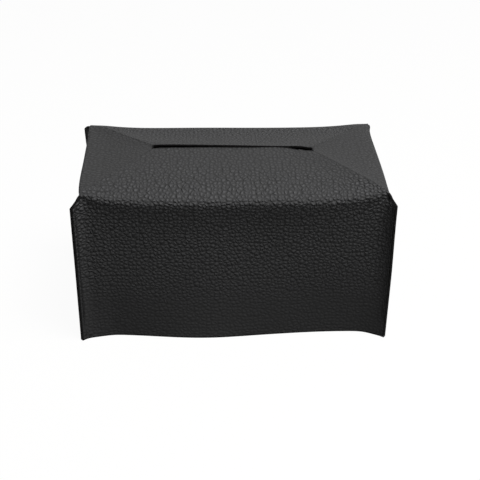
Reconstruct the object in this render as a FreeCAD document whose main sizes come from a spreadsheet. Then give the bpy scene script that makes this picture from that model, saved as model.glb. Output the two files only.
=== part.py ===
import FreeCAD, Part
import Sketcher
import math
import os
from FreeCAD import Placement, Rotation, Vector

# A soft tissue box cover sewn from four leather panels. Each panel is one bent sheet: a skirt wall, a
# rounded eave and a top facet that rises to the lip of the slit. Neighbouring panels meet in an upright
# plane at each corner, the seam plane. Below the eave their edges stand outside it as a stitched fin;
# on the top they are turned down inside and stitched. Between its seams the leather gives way: the eave
# sags, the fold stands out over the wall and the hem swings out. X runs along the length, the front faces
# -Y, +Z is up and the hem lies at Z = 0. All sizes are in mm.

SIZES = {
    "length": 228.0,  # between the outsides of the two end walls
    "depth": 120.0,  # between the outsides of the front and back walls
    "corner_height": 127.0,  # where the wall planes and the seam line of the top would meet
    "ridge_height": 134.5,  # where the top's faces would meet over the middle of the slit
    "slit_length": 122.0,  # between the points where the seam lines of the top would meet in pairs
    "slit_gap": 5.0,  # open width of the slit between its lips
    "leather": 1.2,  # thickness of the panels
    "backing": 0.5,  # thickness of the cloth bonded inside them
    "backing_setback": 0.3,  # clear distance from the backing to the turned-in seam edges
    "backing_lip_setback": 6.0,  # how far the backing stops short of the lip, along the seam line
    "eave_radius": 4.5,  # outside radius of the bend between wall and top, in the seam plane
    "front_fold": 6.0,  # the same radius in the middle of the front panel
    "back_fold": 6.0,  # in the middle of the back panel
    "end_fold": 4.2,  # in the middle of the end panels
    "front_sag": 7.2,  # how much lower the front panel's eave hangs in the middle than at its corners
    "back_sag": 2.6,  # the same of the back panel
    "end_sag": 0.4,  # the same of the end panels
    "front_brow": 4.0,  # how far the front panel's fold stands out over the wall in the middle
    "back_brow": 1.2,  # the same of the back panel
    "end_brow": 2.0,  # the same of the end panels
    "front_swing": 5.4,  # how far the front panel's hem swings out in the middle
    "back_swing": 2.6,  # the same of the back panel
    "end_swing": 2.2,  # the same of the end panels
    "waist": 75.0,  # height below which the hems swing out and above which the folds stand out
    "fin_width": 9.0,  # how far a corner fin stands out from the wall corner
    "fin_bend": 12.0,  # radius of the sweep from the wall into the fin
    "fin_drop": 5.0,  # how much lower the fin's top is at its outer edge
    "fin_stitch_inset": 3.2,  # from the fin's outer edge to its row of stitches
    "turn_in": 6.0,  # depth of the seam edges turned down under the top
    "turn_in_stitch": 3.4,  # from the underside of the top to the row of stitches
    "turn_in_start": 14.0,  # where the turned-in edge starts, measured from the corner
    "stitch_pitch": 4.0,  # from one needle hole to the next
    "stitch_margin": 4.0,  # from the ends of a seam to its first and last needle hole
    "thread": 0.5,  # diameter
    "thread_clearance": 0.05,  # between a thread and the leather, and between two threads
}

# Sizes that follow from the ones above. A seam line of the top runs from a corner inwards to the end of
# the slit, seam_run long in plan, and rises by seam_rise. The depths are measured from the outer face.
LAYOUT = {
    "half_length": "Sizes.length / 2",
    "half_depth": "Sizes.depth / 2",
    "end_run": "(Sizes.length - Sizes.slit_length) / 2",
    "seam_run": "sqrt(half_depth ^ 2 + end_run ^ 2)",
    "seam_rise": "Sizes.ridge_height - Sizes.corner_height",
    "seam_slope": "seam_rise / seam_run",
    "seam_slant": "sqrt(1 + seam_slope ^ 2)",
    "face_depth": "0",
    "bond_depth": "Sizes.leather",
    "lining_depth": "Sizes.leather + Sizes.backing",
    "lip_run": "seam_run * (1 - Sizes.slit_gap / Sizes.depth)",
    "backing_lip_run": "lip_run - Sizes.backing_lip_setback",
    "wall_top": "Sizes.corner_height + Sizes.eave_radius * (seam_slope - seam_slant)",
    "fin_seam_top": "wall_top - Sizes.fin_drop * (1 - Sizes.fin_stitch_inset / Sizes.fin_width)",
    "fin_stitch_out": "Sizes.fin_width - Sizes.fin_stitch_inset",
    "fin_holes": "1 + floor((fin_seam_top - 2 * Sizes.stitch_margin) / Sizes.stitch_pitch)",
    "turn_in_root": "Sizes.corner_height - seam_slant * Sizes.leather / 2",
    "turn_in_row": "Sizes.corner_height - seam_slant * (Sizes.leather + Sizes.turn_in_stitch)",
    "turn_in_length": "seam_slant * (lip_run - Sizes.turn_in_start)",
    "turn_in_first": "Sizes.turn_in_start + Sizes.stitch_margin",
    "turn_in_holes": "1 + floor((turn_in_length - 2 * Sizes.stitch_margin) / Sizes.stitch_pitch)",
    "thread_turn": "Sizes.thread / 2 + Sizes.thread_clearance",
    "needle_hole": "4 * thread_turn",
}

# What differs between the panels, each drawn with its wall facing -Y: half the wall's width, the wall's
# distance from the middle, the way of a seam line inwards and along the wall, and its own soft sizes.
LONG = {"half_width": "half_length", "reach": "half_depth", "inward": "half_depth", "along": "end_run"}
FRONT, BACK = {**LONG, "drape": "front"}, {**LONG, "drape": "back"}
END = {
    "half_width": "half_depth", "reach": "half_length", "inward": "end_run", "along": "half_depth",
    "drape": "end",
}

# Upright sections of a panel, from its seam to its middle, as shares of its half width.
SECTIONS = {"seam": 1.0, "near": 0.88, "far": 0.6, "middle": 0.0}

# Powers of the share: the higher, the closer to the seam the sag, the brow and the swing die away.
SAG_POWER, BROW_POWER, SWING_POWER = 6, 3, 2


def section_cells(kind, section):
    """Sizes of one section, measured in its own plane, which stands at a slant to the wall.

    run: from the wall to over the slit, and lip: to the lip. stretch: the slant's share over square.
    brow and eave: the corner that the fold rounds. swing: of the hem.
    """
    at, share, soft = f"{kind['drape']}_{section}", SECTIONS[section], f"Sizes.{kind['drape']}"
    give = f"(1 - {share} ^ {SAG_POWER})"
    return {
        f"{at}_run": f"sqrt({kind['inward']} ^ 2 + ({share} * {kind['along']}) ^ 2)",
        f"{at}_lip": f"{at}_run * (1 - Sizes.slit_gap / Sizes.depth)",
        f"{at}_stretch": f"{at}_run / {kind['inward']}",
        f"{at}_eave": f"Sizes.corner_height - {soft}_sag * {give}",
        f"{at}_fold": f"Sizes.eave_radius + ({soft}_fold - Sizes.eave_radius) * {give}",
        f"{at}_brow": f"{soft}_brow * (1 - {share} ^ {BROW_POWER}) * {at}_stretch",
        f"{at}_swing": f"{soft}_swing * (1 - {share} ^ {SWING_POWER}) ^ 2 * {at}_stretch",
        f"{at}_slope": f"(Sizes.ridge_height - {at}_eave) / ({at}_run + {at}_brow)",
        f"{at}_slant": f"sqrt(1 + {at}_slope ^ 2)",
    }


for kind in (FRONT, BACK, END):
    for section in SECTIONS:
        LAYOUT.update(section_cells(kind, section))

# Each panel with its turn about Z in degrees, the corners at its right and left as seen from outside, and
# the kind of thread that shows on its side of the seams.
PANELS = [
    ("front", FRONT, 0, "front_right", "front_left", "needle"),
    ("right_end", END, 90, "back_right", "front_right", "bobbin"),
    ("back", BACK, 180, "back_left", "back_right", "needle"),
    ("left_end", END, 270, "front_left", "back_left", "bobbin"),
]

UP = Vector(0, 0, 1)

doc = FreeCAD.newDocument("tissue_box_cover")


def put_sheet(name, cells):
    """A spreadsheet with one aliased row for each entry."""
    sheet = doc.addObject("Spreadsheet::Sheet", name)
    for row, (alias, text) in enumerate(cells.items(), start=1):
        sheet.set(f"A{row}", alias)
        sheet.set(f"B{row}", text)
        sheet.setAlias(f"B{row}", alias)
    doc.recompute()
    return sheet


sizes = put_sheet("Sizes", {alias: str(number) for alias, number in SIZES.items()})
layout = put_sheet("Layout", {alias: "=" + formula for alias, formula in LAYOUT.items()})


def worked(alias):
    """The number in a cell of either sheet."""
    return float(sizes.get(alias) if alias in SIZES else layout.get(alias))


def origin_plane(body, role):
    """The origin plane of a body that has the given role."""
    return [item for item in body.Origin.OriginFeatures if item.Role == role][0]


def new_sketch(body, name, role):
    """An empty sketch on one of a body's origin planes."""
    sketch = body.newObject("Sketcher::SketchObject", name)
    sketch.AttachmentSupport = [(origin_plane(body, role), "")]
    sketch.MapMode = "FlatFace"
    return sketch


def upright_sketch(body, name, kind, share=SECTIONS["seam"]):
    """An empty sketch in the upright plane at a share of a panel's half width, by default the seam plane.

    Its x axis points out of the wall, its y axis up and its normal to the panel's middle.
    """
    sketch = new_sketch(body, name, "XZ_Plane")
    turn = math.degrees(math.atan2(worked(kind["inward"]), share * worked(kind["along"])))
    sketch.AttachmentOffset = Placement(Vector(), Rotation(Vector(0, -1, 0), turn))
    sketch.setExpression("AttachmentOffset.Base.x", f"{share} * Layout.{kind['half_width']}")
    sketch.setExpression("AttachmentOffset.Base.z", f"Layout.{kind['reach']}")
    sketch.setExpression(
        "AttachmentOffset.Rotation.Angle", f"atan2(Layout.{kind['inward']}; {share} * Layout.{kind['along']})"
    )
    return sketch


def bind(sketch, name, formula, *constraint):
    """A dimension of a sketch, named and driven by a formula."""
    index = sketch.addConstraint(Sketcher.Constraint(*constraint))
    sketch.renameConstraint(index, name)
    sketch.setExpression(f"Constraints.{name}", formula)


def rule(sketch, *constraint):
    """A geometric constraint of a sketch."""
    sketch.addConstraint(Sketcher.Constraint(*constraint))


def line(sketch, start, end, construction=False):
    """A straight line of a sketch between two (x, y) points."""
    return sketch.addGeometry(Part.LineSegment(Vector(*start, 0), Vector(*end, 0)), construction)


def loop(sketch, points):
    """A closed polygon of a sketch; its lines follow one another in the order of the points."""
    lines = [line(sketch, a, b) for a, b in zip(points, points[1:] + points[:1])]
    for first, second in zip(lines, lines[1:] + lines[:1]):
        rule(sketch, "Coincident", first, 2, second, 1)
    return lines


def box_sketch(sketch, left, right, bottom, top):
    """A rectangle; each side is (number, formula) of its distance from the sketch's axes."""
    below, beyond, above, before = loop(sketch, [
        (left[0], bottom[0]), (right[0], bottom[0]), (right[0], top[0]), (left[0], top[0]),
    ])
    for level, upright in ((below, beyond), (above, before)):
        rule(sketch, "Horizontal", level)
        rule(sketch, "Vertical", upright)
    bind(sketch, "left", left[1], "DistanceX", -1, 1, before, 1, left[0])
    bind(sketch, "right", right[1], "DistanceX", -1, 1, beyond, 1, right[0])
    bind(sketch, "bottom", bottom[1], "DistanceY", -1, 1, below, 1, bottom[0])
    bind(sketch, "top", top[1], "DistanceY", -1, 1, above, 1, top[0])


def slanted(sketch):
    """A construction line from over the corner to over the slit's end, as steep as the seam line."""
    rise, run = worked("seam_rise"), worked("seam_run")
    guide = line(sketch, (0, 0), (-run, rise), True)
    rule(sketch, "Coincident", guide, 1, -1, 1)
    bind(sketch, "guide_run", "Layout.seam_run", "DistanceX", guide, 2, -1, 1, run)
    bind(sketch, "guide_rise", "Layout.seam_rise", "DistanceY", -1, 1, guide, 2, rise)
    return guide


def section_guides(sketch, at):
    """Construction lines of a section: the wall from waist to brow, the top from there to the slit."""
    run, eave, brow = (worked(f"{at}_{item}") for item in ("run", "eave", "brow"))
    waist, ridge = worked("waist"), worked("ridge_height")
    wall = line(sketch, (0, waist), (brow, eave), True)
    top = line(sketch, (brow, eave), (-run, ridge), True)
    rule(sketch, "PointOnObject", wall, 1, -2)
    rule(sketch, "Coincident", wall, 2, top, 1)
    bind(sketch, "waist", "Sizes.waist", "DistanceY", -1, 1, wall, 1, waist)
    bind(sketch, "brow", f"Layout.{at}_brow", "DistanceX", -1, 1, wall, 2, brow)
    bind(sketch, "eave", f"Layout.{at}_eave", "DistanceY", -1, 1, wall, 2, eave)
    bind(sketch, "run", f"Layout.{at}_run", "DistanceX", top, 2, -1, 1, run)
    bind(sketch, "ridge", "Sizes.ridge_height", "DistanceY", -1, 1, top, 2, ridge)
    return wall, top


def hem_line(sketch, name, at, depth, upright):
    """The wall below the waist: straight at a seam, and otherwise an arc that swings out to the hem."""
    start, end = sketch.getPoint(upright, 1), sketch.getPoint(upright, 2)
    swing = worked(f"{at}_swing")
    foot = Vector(start.x + swing, 0, 0)
    if at.endswith("seam"):
        hem = line(sketch, (start.x, start.y), (foot.x, foot.y))
        rule(sketch, "Coincident", hem, 1, upright, 1)
        rule(sketch, "Vertical", hem)
    else:
        up = (end - start).normalize()
        out = Vector(up.y, -up.x, 0)
        fall = foot - start
        radius = fall.Length ** 2 / (2 * fall.dot(out))
        centre = start + out * radius
        first = math.atan2(start.y - centre.y, start.x - centre.x)
        last = math.atan2(foot.y - centre.y, foot.x - centre.x) + 2 * math.pi
        hem = sketch.addGeometry(Part.ArcOfCircle(Part.Circle(centre, UP, radius), first, last))
        rule(sketch, "Tangent", hem, 1, upright, 1)
        foot_formula = f"Layout.{depth} * Layout.{at}_stretch - Layout.{at}_swing"
        bind(sketch, f"{name}_foot", foot_formula, "DistanceX", hem, 2, -1, 1, -foot.x)
    rule(sketch, "PointOnObject", hem, 2, -1)
    return hem


def layer_line(sketch, name, at, depth, guides):
    """Hem, wall, fold and top line of a sheet in one section, at one depth below its outer face."""
    set_in, waist, slope, slant, eave, brow, lip = (
        worked(alias) for alias in (depth, "waist", *(f"{at}_{item}" for item in (
            "slope", "slant", "eave", "brow", "lip")))
    )
    wall, radius = set_in * worked(f"{at}_stretch"), worked(f"{at}_fold") - set_in
    tilt = brow / (eave - waist)
    lean, climb = math.atan(tilt), math.atan(slope)
    meet = (eave - set_in * slant + (brow + wall + waist * tilt) * slope) / (1 + tilt * slope)
    corner = Vector(-wall + (meet - waist) * tilt, meet, 0)
    cut = radius * math.tan((math.pi / 2 - climb + lean) / 2)
    start = corner - Vector(math.sin(lean), math.cos(lean), 0) * cut
    crest = corner + Vector(-math.cos(climb), math.sin(climb), 0) * cut
    centre = start + Vector(-math.cos(lean), math.sin(lean), 0) * radius
    lip_height = eave + (lip + brow) * slope - set_in * slant
    upright = line(sketch, (-wall, waist), (start.x, start.y))
    fold = sketch.addGeometry(Part.ArcOfCircle(Part.Circle(centre, UP, radius), -lean, math.pi / 2 - climb))
    facet = line(sketch, (crest.x, crest.y), (-lip, lip_height))
    rule(sketch, "Parallel", upright, guides[0])
    rule(sketch, "Tangent", upright, 2, fold, 1)
    rule(sketch, "Tangent", fold, 2, facet, 1)
    rule(sketch, "Parallel", facet, guides[1])
    wall_formula = f"Layout.{depth} * Layout.{at}_stretch"
    bind(sketch, f"{name}_wall", wall_formula, "DistanceX", upright, 1, -1, 1, wall)
    bind(sketch, f"{name}_waist", "Sizes.waist", "DistanceY", -1, 1, upright, 1, waist)
    bind(sketch, f"{name}_radius", f"Layout.{at}_fold - Layout.{depth}", "Radius", fold, radius)
    bind(sketch, f"{name}_lip", f"Layout.{at}_lip", "DistanceX", facet, 2, -1, 1, lip)
    height_formula = (
        f"Layout.{at}_eave + Layout.{at}_slope * (Layout.{at}_lip + Layout.{at}_brow)"
        f" - Layout.{at}_slant * Layout.{depth}"
    )
    bind(sketch, f"{name}_height", height_formula, "DistanceY", -1, 1, facet, 2, lip_height)
    return hem_line(sketch, name, at, depth, upright), facet


def sheet_section(body, kind, section, outer, inner):
    """One section of a sheet between two depths: two layer lines, closed at the hem and at the lip."""
    at = f"{kind['drape']}_{section}"
    sketch = upright_sketch(body, f"{section}_section", kind, SECTIONS[section])
    guides = section_guides(sketch, at)
    outer_hem, outer_top = layer_line(sketch, "outer", at, outer, guides)
    inner_hem, inner_top = layer_line(sketch, "inner", at, inner, guides)
    for first, second in ((outer_hem, inner_hem), (outer_top, inner_top)):
        a, b = (sketch.getPoint(item, 2) for item in (first, second))
        closing = line(sketch, (a.x, a.y), (b.x, b.y))
        rule(sketch, "Coincident", closing, 1, first, 2)
        rule(sketch, "Coincident", closing, 2, second, 2)
    return sketch


def sheet_half(body, kind, outer, inner):
    """The right half of one layer of a panel, between two depths, ruled through its sections."""
    sections = [sheet_section(body, kind, section, outer, inner) for section in SECTIONS]
    loft = body.newObject("PartDesign::AdditiveLoft", "sheet")
    loft.Profile = sections[0]
    loft.Sections = sections[1:]
    loft.Ruled = True
    doc.recompute()


def fin(body, kind):
    """The flange that sweeps out of the wall along the seam plane, rooted in the wall's own thickness.

    Its top is cut on a slope.
    """
    inward, along, run = (worked(alias) for alias in (kind["inward"], kind["along"], "seam_run"))
    width, thick, bend = (worked(alias) for alias in ("fin_width", "leather", "fin_bend"))
    out = Vector(along / run, -inward / run, 0)
    side = Vector(-inward / run, -along / run, 0)
    sweep = math.atan2(inward, along)
    tangent = bend * math.tan(sweep / 2)
    sunk = thick / 2
    root = out * (-sunk * run / inward)
    elbow = root - Vector(thick * run / inward, 0, 0)
    bend_end, wall_end = elbow + out * tangent, elbow - Vector(tangent, 0, 0)
    tip = out * width
    corner = tip + side * thick
    plan = new_sketch(body, "fin_plan", "XY_Plane")
    plan.setExpression("AttachmentOffset.Base.x", f"Layout.{kind['half_width']}")
    plan.setExpression("AttachmentOffset.Base.y", f"-Layout.{kind['reach']}")
    guide = line(plan, (0, 0), (-along, inward), True)
    seam = line(plan, (root.x, root.y), (tip.x, tip.y))
    end = line(plan, (tip.x, tip.y), (corner.x, corner.y))
    face = line(plan, (corner.x, corner.y), (bend_end.x, bend_end.y))
    circle = Part.Circle(wall_end - Vector(0, bend, 0), UP, bend)
    arc = plan.addGeometry(Part.ArcOfCircle(circle, math.pi / 2 - sweep, math.pi / 2))
    foot = line(plan, (wall_end.x, wall_end.y), (root.x, root.y))
    rule(plan, "Coincident", guide, 1, -1, 1)
    bind(plan, "guide_along", f"Layout.{kind['along']}", "DistanceX", guide, 2, -1, 1, along)
    bind(plan, "guide_inward", f"Layout.{kind['inward']}", "DistanceY", -1, 1, guide, 2, inward)
    rule(plan, "PointOnObject", seam, 1, guide)
    rule(plan, "Parallel", seam, guide)
    bind(plan, "sunk", "Sizes.leather / 2", "DistanceY", -1, 1, seam, 1, sunk)
    bind(plan, "width", "Sizes.fin_width", "Distance", -1, 1, seam, 2, width)
    rule(plan, "Coincident", seam, 2, end, 1)
    rule(plan, "Perpendicular", seam, end)
    bind(plan, "thickness", "Sizes.leather", "Distance", end, thick)
    rule(plan, "Coincident", end, 2, face, 1)
    rule(plan, "Parallel", face, guide)
    rule(plan, "Tangent", face, 2, arc, 1)
    rule(plan, "Tangent", arc, 2, foot, 1)
    rule(plan, "Coincident", foot, 2, seam, 1)
    rule(plan, "Horizontal", foot)
    bind(plan, "bend", "Sizes.fin_bend", "Radius", arc, bend)
    pad = body.newObject("PartDesign::Pad", "fin")
    pad.Profile = plan
    pad.setExpression("Length", "Layout.wall_top")
    doc.recompute()

    top, drop = worked("wall_top"), worked("fin_drop")
    clip = upright_sketch(body, "fin_clip", kind)
    slope, edge, level = loop(clip, [(0, top), (width, top - drop), (width, top)])
    rule(clip, "PointOnObject", slope, 1, -2)
    rule(clip, "Vertical", edge)
    rule(clip, "Horizontal", level)
    bind(clip, "top", "Layout.wall_top", "DistanceY", -1, 1, slope, 1, top)
    bind(clip, "width", "Sizes.fin_width", "DistanceX", -1, 1, edge, 1, width)
    bind(clip, "drop", "Sizes.fin_drop", "Distance", edge, drop)
    cut_along_normal(body, "fin_top_cut", clip, "Sizes.fin_bend")


def turned_edge(body, kind):
    """The edge turned down under the top along the seam plane, rooted in the top's own thickness."""
    start, lip, slope = (worked(alias) for alias in ("turn_in_start", "lip_run", "seam_slope"))
    root, deep = worked("turn_in_root"), worked("turn_in") + worked("leather") / 2
    sketch = upright_sketch(body, "turned_edge_side", kind)
    near, far = (-start, root + start * slope), (-lip, root + lip * slope)
    top, end, below, foot = loop(sketch, [near, far, (far[0], far[1] - deep), (near[0], near[1] - deep)])
    rule(sketch, "Vertical", end)
    rule(sketch, "Vertical", foot)
    rule(sketch, "Parallel", top, below)
    bind(sketch, "start", "Sizes.turn_in_start", "DistanceX", top, 1, -1, 1, start)
    bind(sketch, "lip", "Layout.lip_run", "DistanceX", top, 2, -1, 1, lip)
    near_formula = "Layout.turn_in_root + Layout.seam_slope * Sizes.turn_in_start"
    bind(sketch, "near", near_formula, "DistanceY", -1, 1, top, 1, near[1])
    far_formula = "Layout.turn_in_root + Layout.seam_slope * Layout.lip_run"
    bind(sketch, "far", far_formula, "DistanceY", -1, 1, top, 2, far[1])
    bind(sketch, "deep", "Sizes.turn_in + Sizes.leather / 2", "Distance", end, deep)
    pad = body.newObject("PartDesign::Pad", "turned_edge")
    pad.Profile = sketch
    pad.setExpression("Length", "Sizes.leather")
    doc.recompute()


def cut_along_normal(body, name, sketch, length):
    """A pocket to the side that the sketch's normal points to, which at a seam is the panel's own side."""
    pocket = body.newObject("PartDesign::Pocket", name)
    pocket.Profile = sketch
    pocket.setExpression("Length", length)
    pocket.Reversed = True
    doc.recompute()
    return pocket


def needle_holes(body, name, kind, across, across_formula, height, height_formula, axis, count):
    """A row of needle holes through the leather at the seam plane, from the first hole along an axis."""
    sketch = upright_sketch(body, name + "_first", kind)
    if axis == "Axis0":
        slanted(sketch)
    radius = worked("needle_hole") / 2
    hole = sketch.addGeometry(Part.Circle(Vector(across, height, 0), UP, radius))
    bind(sketch, "across", across_formula, "DistanceX", -1, 1, hole, 3, across)
    bind(sketch, "height", height_formula, "DistanceY", -1, 1, hole, 3, height)
    bind(sketch, "hole", "Layout.needle_hole / 2", "Radius", hole, radius)
    pocket = cut_along_normal(body, name + "_cut", sketch, "2 * Sizes.leather")
    row = body.newObject("PartDesign::LinearPattern", name)
    row.Originals = [pocket]
    row.Direction = (sketch, [axis])
    row.Mode = "Spacing"
    row.setExpression("Offset", "Sizes.stitch_pitch")
    row.setExpression("Occurrences", f"Layout.{count}")
    body.Tip = row
    doc.recompute()


def both_halves(body):
    """The finished half joined with its mirror image across the middle of the panel."""
    whole = body.newObject("PartDesign::Mirrored", "both_halves")
    whole.TransformMode = "Whole shape"
    whole.MirrorPlane = (origin_plane(body, "YZ_Plane"), [""])
    body.Tip = whole
    doc.recompute()


def new_body(label, turn):
    """An empty body, turned about Z to its side of the box."""
    body = doc.addObject("PartDesign::Body", label)
    body.Label = label
    body.Placement = Placement(Vector(), Rotation(UP, turn))
    return body


def leather_panel(label, kind, turn):
    """One leather panel with its fins, turned edges and needle holes."""
    body = new_body(label, turn)
    sheet_half(body, kind, "face_depth", "bond_depth")
    fin(body, kind)
    turned_edge(body, kind)
    needle_holes(
        body, "fin_holes", kind,
        worked("fin_stitch_out"), "Layout.fin_stitch_out",
        worked("stitch_margin"), "Sizes.stitch_margin",
        "V_Axis", "fin_holes",
    )
    first = worked("turn_in_first")
    needle_holes(
        body, "turned_edge_holes", kind,
        -first, "-Layout.turn_in_first",
        worked("turn_in_row") + first * worked("seam_slope"),
        "Layout.turn_in_row + Layout.seam_slope * Layout.turn_in_first",
        "Axis0", "turn_in_holes",
    )
    both_halves(body)
    return body


def cloth_backing(label, kind, turn):
    """The cloth bonded under one panel, clear of its turned edges and of the lip."""
    body = new_body(label, turn)
    sheet_half(body, kind, "bond_depth", "lining_depth")
    run, ridge, spare = (worked(alias) for alias in ("seam_run", "ridge_height", "leather"))
    side = upright_sketch(body, "seam_setback", kind)
    box_sketch(side, (-run, "-Layout.seam_run"), (spare, "Sizes.leather"),
               (-spare, "-Sizes.leather"), (ridge, "Sizes.ridge_height"))
    cut_along_normal(body, "seam_setback_cut", side, "Sizes.leather + Sizes.backing_setback")
    reach, inward, half = (worked(kind[item]) for item in ("reach", "inward", "half_width"))
    stop = f"Layout.backing_lip_run * Layout.{kind['inward']} / Layout.seam_run - Layout.{kind['reach']}"
    plan = new_sketch(body, "lip_setback", "XY_Plane")
    box_sketch(plan, (-spare, "-Sizes.leather"), (half, f"Layout.{kind['half_width']}"),
               (worked("backing_lip_run") * inward / run - reach, stop), (0, "0"))
    cut_along_normal(body, "lip_setback_cut", plan, "Sizes.ridge_height")
    both_halves(body)
    return body


def stitch_path(first, ahead, side, count):
    """The middle line of a thread: runs on the leather's face joined by loops down into the needle holes."""
    pitch, turn, thick = (worked(alias) for alias in ("stitch_pitch", "thread_turn", "leather"))
    low = 2 * turn - worked("thread_clearance") / 2
    edges = []

    def at(along, out):
        return first + ahead * along + side * out

    def bow(hole, start, middle, end):
        edges.append(Part.Arc(at(hole + start[0], start[1]), at(hole + middle[0], middle[1]),
                              at(hole + end[0], end[1])).toShape())

    def straight(start, end):
        edges.append(Part.makeLine(at(*start), at(*end)))

    bulge = turn * (1 - math.sqrt(0.5))
    for stitch in range(count - 1):
        here, there = stitch * pitch, (stitch + 1) * pitch
        straight((here + turn, low), (here + turn, thick))
        bow(here, (turn, thick), (turn + bulge, thick + turn - bulge), (2 * turn, thick + turn))
        straight((here + 2 * turn, thick + turn), (there - 2 * turn, thick + turn))
        bow(there, (-2 * turn, thick + turn), (-turn - bulge, thick + turn - bulge), (-turn, thick))
        straight((there - turn, thick), (there - turn, low))
        if stitch < count - 2:
            bow(there, (-turn, low), (0, low - turn), (turn, low))
    return Part.Wire(edges)


def seam_thread(label, kind, turn, mirrored, first, ahead, count):
    """One thread of a seam, at the right or, mirrored, at the left of a panel."""
    inward, along, run = (worked(alias) for alias in (kind["inward"], kind["along"], "seam_run"))
    corner = Vector(worked(kind["half_width"]), -worked(kind["reach"]), 0)
    out = Vector(along / run, -inward / run, 0)
    side = Vector(-inward / run, -along / run, 0)
    heading = out * ahead[0] + UP * ahead[1]
    path = stitch_path(corner + out * first[0] + UP * first[1], heading, side, count)
    start = path.OrderedVertexes[0].Point
    ring = Part.Wire([Part.makeCircle(worked("thread") / 2, start, side)])
    solid = path.makePipeShell([ring], True, False)
    if mirrored:
        solid = solid.mirror(Vector(), Vector(1, 0, 0))
    thread = doc.addObject("Part::Feature", label)
    thread.Label = label
    thread.Shape = solid
    thread.Placement = Placement(Vector(), Rotation(UP, turn))
    return thread


nodes = []
for side, kind, turn, right, left, thread in PANELS:
    nodes.append(leather_panel(f"{side}_panel", kind, turn))
    nodes.append(cloth_backing(f"{side}_backing", kind, turn))
    fin_first = (worked("fin_stitch_out"), worked("stitch_margin"))
    top_run = worked("turn_in_first")
    top_first = (-top_run, worked("turn_in_row") + top_run * worked("seam_slope"))
    top_ahead = (-1 / worked("seam_slant"), worked("seam_slope") / worked("seam_slant"))
    for corner, mirrored in ((right, False), (left, True)):
        nodes.append(seam_thread(
            f"{corner}_corner_{thread}_thread", kind, turn, mirrored,
            fin_first, (0, 1), int(worked("fin_holes")),
        ))
        nodes.append(seam_thread(
            f"{corner}_top_{thread}_thread", kind, turn, mirrored,
            top_first, top_ahead, int(worked("turn_in_holes")),
        ))
doc.recompute()

for item in doc.Objects:
    if "Invalid" in item.State or "Error" in item.State:
        raise RuntimeError(f"{item.Label} did not build: {item.State}")
os.makedirs("parts", exist_ok=True)
for node in nodes:
    shape = node.Shape
    if shape.isNull() or not shape.isValid() or len(shape.Solids) != 1:
        raise RuntimeError(f"{node.Label} is not one sound solid")
    shape.exportStep(f"parts/{node.Label}.step")
    print(node.Label, round(shape.Volume, 2), shape.BoundBox)
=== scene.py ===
# %% [markdown]
# # A soft leather cover for a tissue box
#
# The real object is sewn from four panels of thin black pebbled leather. Each panel is one sheet: it
# hangs as a skirt wall, folds over the eave and climbs to the lip of a slit. At the corners two panels
# are pinched together and stitched, so the seam stands out as a fin; on the top the seam edges are
# turned in. This lesson loads the measured model first, and then dresses every piece of it.

# %% Load the measured model
import math

import bpy
import numpy as np
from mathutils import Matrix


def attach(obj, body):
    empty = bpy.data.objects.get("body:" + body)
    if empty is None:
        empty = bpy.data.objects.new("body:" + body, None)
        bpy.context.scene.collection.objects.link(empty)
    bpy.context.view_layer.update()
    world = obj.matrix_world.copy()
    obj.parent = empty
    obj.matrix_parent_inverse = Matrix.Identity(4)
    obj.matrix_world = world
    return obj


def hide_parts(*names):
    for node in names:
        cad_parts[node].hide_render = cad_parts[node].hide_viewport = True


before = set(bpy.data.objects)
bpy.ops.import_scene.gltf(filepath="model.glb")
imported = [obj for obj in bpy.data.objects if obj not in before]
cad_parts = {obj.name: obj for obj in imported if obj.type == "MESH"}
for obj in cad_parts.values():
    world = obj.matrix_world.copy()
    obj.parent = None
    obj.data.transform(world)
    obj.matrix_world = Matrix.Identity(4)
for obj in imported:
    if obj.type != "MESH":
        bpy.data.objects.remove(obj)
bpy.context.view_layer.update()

# %% [markdown]
# ## Sizes of the cover
#
# The driving sizes of the measured model in millimetres, and what follows from them: the run and slope
# of the seam lines from corner to slit, and the heights at which fins and wall end.

# %% Sizes
MM = 0.001
LENGTH, DEPTH = 228.0, 120.0
CORNER_Z, RIDGE_Z = 127.0, 134.5
SLIT, GAP = 122.0, 5.0
LEATHER, BACKING = 1.2, 0.5
BACKING_LIP_SETBACK = 6.0
EAVE_RADIUS = 4.5
CORNER_FOLD = 1.6
FIN_WIDTH, FIN_BEND, FIN_DROP, FIN_STITCH_INSET = 9.0, 12.0, 5.0, 3.2
TURN_IN, TURN_IN_STITCH, TURN_IN_START = 6.0, 3.4, 14.0
STITCH_PITCH, STITCH_MARGIN = 4.0, 4.0
THREAD, THREAD_CLEARANCE = 0.5, 0.05
HEM_FLARE, FLARE_HEIGHT = 8.0, 60.0

END_RUN = (LENGTH - SLIT) / 2
SEAM_RUN = math.hypot(DEPTH / 2, END_RUN)
SEAM_SLOPE = (RIDGE_Z - CORNER_Z) / SEAM_RUN
SEAM_SLANT = math.hypot(1, SEAM_SLOPE)
LIP_RUN = SEAM_RUN * (1 - GAP / DEPTH)
FIN_ROOT = CORNER_Z + EAVE_RADIUS * (SEAM_SLOPE - SEAM_SLANT)
FIN_TIP = FIN_ROOT - FIN_DROP
WALL_TOP = CORNER_Z + CORNER_FOLD * (SEAM_SLOPE - SEAM_SLANT)
print("seam line:", round(SEAM_RUN, 2), "mm in plan; fin tips at", round(FIN_TIP, 2), "mm")
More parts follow.
